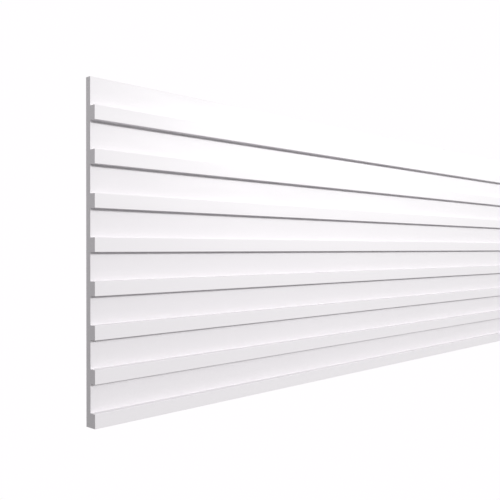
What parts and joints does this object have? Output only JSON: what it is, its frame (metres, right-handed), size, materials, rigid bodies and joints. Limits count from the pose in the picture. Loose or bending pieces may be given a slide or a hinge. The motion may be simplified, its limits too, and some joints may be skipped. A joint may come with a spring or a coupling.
{
  "type": "polystyrene wall panel",
  "caption": "Long ribbed wall panel of white extruded polystyrene: a thin sheet with square ribs along its face, glued up by its flat back and butted edge to edge.",
  "frame": {"origin": "middle of the flat back face, which lies on the floor", "axes": "+X along the panel's length, +Y across it from the foot edge, where a rib is flush, to the head edge, where the plain sheet ends, +Z out of the back through the ribbed face"},
  "size_m": [2, 0.24, 0.0105],
  "materials": {
    "primed_polystyrene": "satin white primer film on the face and edges, plain sawn ends"
  },
  "bodies": {
    "root": {"wall_panel": "primed_polystyrene"}
  },
  "joints": []
}
